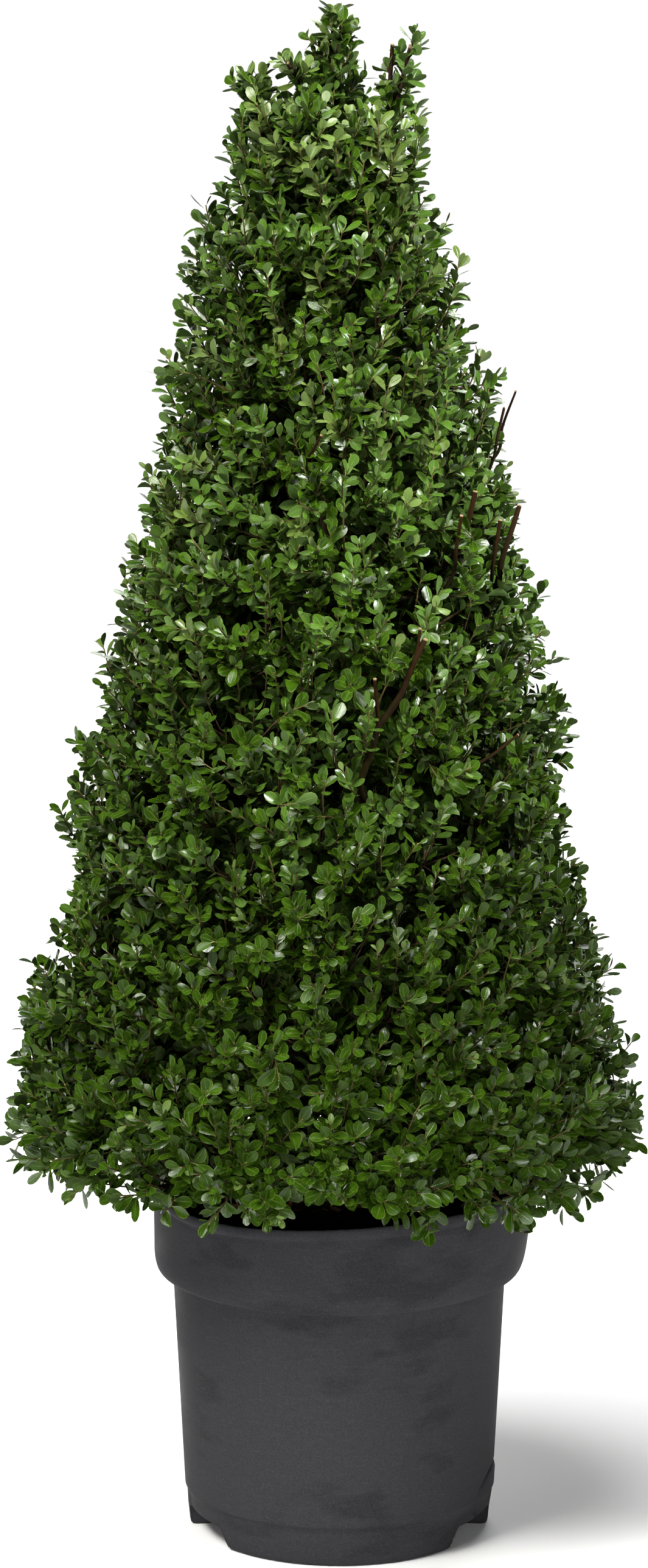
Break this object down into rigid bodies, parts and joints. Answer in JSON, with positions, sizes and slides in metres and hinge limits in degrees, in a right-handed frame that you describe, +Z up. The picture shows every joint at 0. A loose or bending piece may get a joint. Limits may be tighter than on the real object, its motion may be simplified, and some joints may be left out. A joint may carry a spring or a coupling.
{
  "type": "potted cone topiary",
  "caption": "Small-leaved evergreen shrub clipped to a tall cone, with loose leading shoots at its top, growing in a round plastic nursery pot.",
  "frame": {"origin": "centre of the pot's flat underside", "axes": "+Z up along the pot's axis, -Y towards the front that the picture shows, +X to the right as seen from the front"},
  "size_m": [0.4585, 0.4461, 1.1194],
  "materials": {
    "pot": "matt charcoal moulded plastic, lightly scuffed",
    "soil": "moist dark compost with bark",
    "bark": "grey brown bark, rough",
    "leaves": "glossy dark green small leaves"
  },
  "bodies": {
    "root": {"pot": "pot", "soil": "soil", "trunk": "bark", "bough_lower_front": "bark", "foliage_lower_front": "leaves", "bough_lower_right": "bark", "foliage_lower_right": "leaves", "bough_lower_back_right": "bark", "foliage_lower_back_right": "leaves", "bough_lower_back_left": "bark", "foliage_lower_back_left": "leaves", "bough_lower_left": "bark", "foliage_lower_left": "leaves", "bough_upper_front": "bark", "foliage_upper_front": "leaves", "bough_upper_back_right": "bark", "foliage_upper_back_right": "leaves", "bough_upper_back_left": "bark", "foliage_upper_back_left": "leaves", "leader_left": "bark", "spray_left": "leaves", "leader_front": "bark", "spray_front": "leaves", "leader_middle": "bark", "spray_middle": "leaves", "leader_right": "bark", "spray_right": "leaves", "leader_back": "bark", "spray_back": "leaves"}
  },
  "joints": []
}
